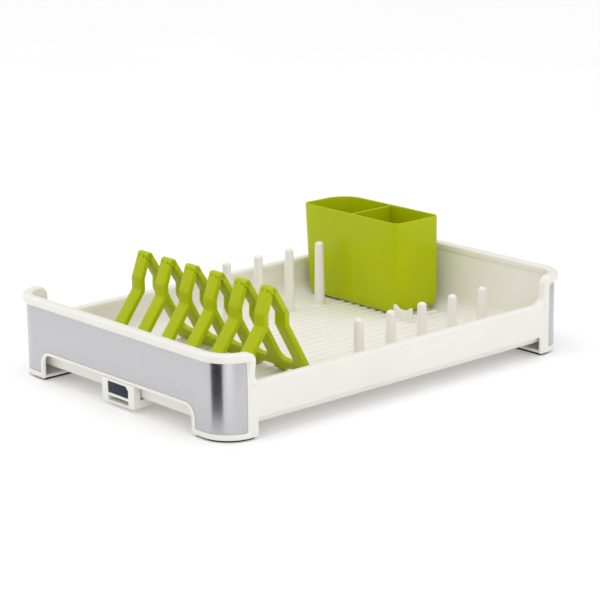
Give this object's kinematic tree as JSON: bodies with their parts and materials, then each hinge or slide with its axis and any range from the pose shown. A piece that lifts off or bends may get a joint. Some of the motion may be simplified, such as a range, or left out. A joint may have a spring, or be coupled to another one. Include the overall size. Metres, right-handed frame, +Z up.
{
  "type": "dish drying rack",
  "caption": "Dish drying rack: ribbed drip tray on two steel-faced legged ends, pegs, folding lift-out plate rack, lift-out cutlery caddy and drain spout with a pull-out plug.",
  "frame": {"origin": "on the table, under the middle of the rack", "axes": "+X along the rack towards the caddy end, +Y towards the back, +Z up"},
  "size_m": [0.478, 0.346, 0.1227],
  "materials": {
    "ivory_plastic": "fine satin moulded polypropylene",
    "lime_plastic": "glossy moulded plastic",
    "brushed_steel": "brushed stainless sheet, grain along the rack's end",
    "black_rubber": "matte soft rubber",
    "slate_plastic": "matte dark blue-grey plastic",
    "screw_steel": "plain stainless screw"
  },
  "bodies": {
    "rack_body": {"drip_tray": "ivory_plastic", "end_frame_near": "ivory_plastic", "end_skin_near": "brushed_steel", "foot_near_front": "black_rubber", "foot_near_back": "black_rubber", "end_frame_far": "ivory_plastic", "end_skin_far": "brushed_steel", "foot_far_front": "black_rubber", "foot_far_back": "black_rubber", "side_rail_front": "ivory_plastic", "side_rail_back": "ivory_plastic", "peg_front_1": "ivory_plastic", "peg_front_2": "ivory_plastic", "peg_front_3": "ivory_plastic", "peg_front_4": "ivory_plastic", "peg_front_5": "ivory_plastic", "peg_back_1": "ivory_plastic", "peg_back_2": "ivory_plastic", "peg_back_3": "ivory_plastic", "peg_back_4": "ivory_plastic", "spout_housing": "ivory_plastic", "spout_screw_1": "screw_steel", "spout_screw_2": "screw_steel"},
    "drain_plug_unit": {"drain_plug": "slate_plastic", "plug_seal": "black_rubber"},
    "caddy": {"cutlery_caddy": "lime_plastic"},
    "plate_rack_hinge": {"hinge_pin_1": "lime_plastic", "hinge_pin_2": "lime_plastic", "hinge_pin_3": "lime_plastic", "hinge_pin_4": "lime_plastic", "hinge_pin_5": "lime_plastic", "hinge_pin_6": "lime_plastic"},
    "left_comb": {"comb_left": "lime_plastic"},
    "right_comb": {"comb_right": "lime_plastic"}
  },
  "joints": [
    {"name": "plate_rack_lift", "type": "slide", "parent": "rack_body", "child": "plate_rack_hinge", "axis": [0, 0, 1], "range_m": [0, 0.15]},
    {"name": "comb_left_fold", "type": "hinge", "parent": "plate_rack_hinge", "child": "left_comb", "pos_m": [-0.119, 0, 0.117], "axis": [0, -1, 0], "range_deg": [0, 14]},
    {"name": "comb_right_fold", "type": "hinge", "parent": "plate_rack_hinge", "child": "right_comb", "pos_m": [-0.119, 0, 0.117], "axis": [0, 1, 0], "range_deg": [0, 14]},
    {"name": "caddy_lift", "type": "slide", "parent": "rack_body", "child": "caddy", "axis": [0, 0, 1], "range_m": [0, 0.11]},
    {"name": "drain_plug_pull", "type": "slide", "parent": "rack_body", "child": "drain_plug_unit", "axis": [-1, 0, 0], "range_m": [0, 0.005]}
  ],
  "couplings": [
    {"joint": "comb_left_fold", "follows": "plate_rack_lift", "rad_per_m": 1.628},
    {"joint": "comb_right_fold", "follows": "plate_rack_lift", "rad_per_m": 1.628}
  ]
}
